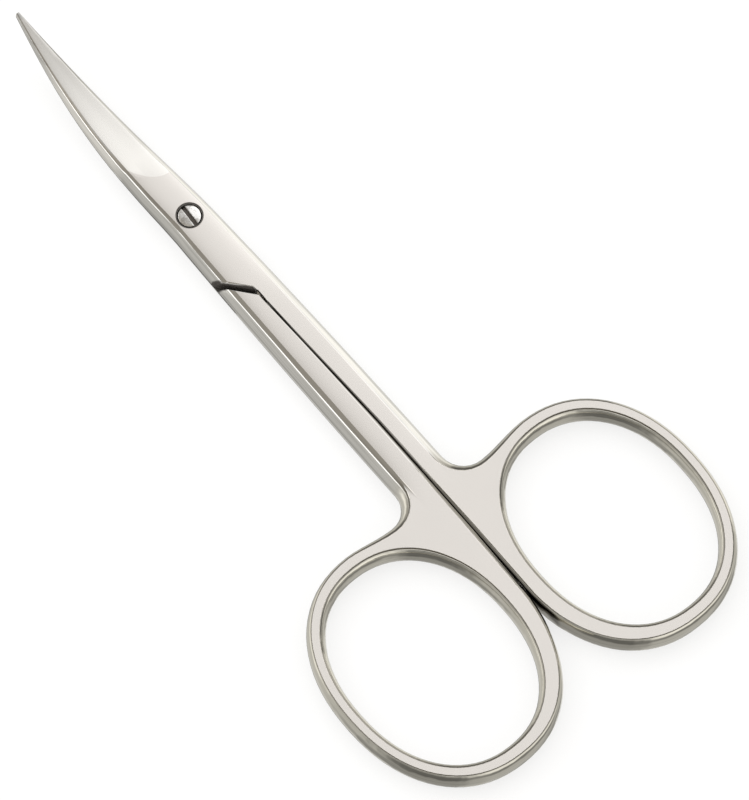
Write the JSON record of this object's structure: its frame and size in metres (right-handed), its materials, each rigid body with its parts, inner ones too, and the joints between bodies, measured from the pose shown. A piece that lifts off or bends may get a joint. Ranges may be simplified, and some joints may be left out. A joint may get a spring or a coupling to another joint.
{
  "type": "cuticle scissors",
  "caption": "Curved cuticle scissors with oval finger rings, slim shanks and fine pointed blades that swing on a slotted pivot screw.",
  "frame": {"origin": "on the pivot's axis, in the flat underside that the closed scissors lie on", "axes": "+Y along the closed scissors to the tips, +Z along the pivot to the screw head, +X to the side of the front half's ring"},
  "size_m": [0.0454, 0.0928, 0.0057],
  "materials": {
    "satin_steel": "satin flat faces with polished rounded flanks",
    "screw_steel": "polished head"
  },
  "bodies": {
    "back": {"back_half": "satin_steel", "pivot_screw": "screw_steel"},
    "front": {"front_half": "satin_steel"}
  },
  "joints": [
    {"name": "pivot", "type": "hinge", "parent": "back", "child": "front", "pos_m": [0, 0, 0.00145], "axis": [0, 0, 1], "range_deg": [0, 135]}
  ]
}
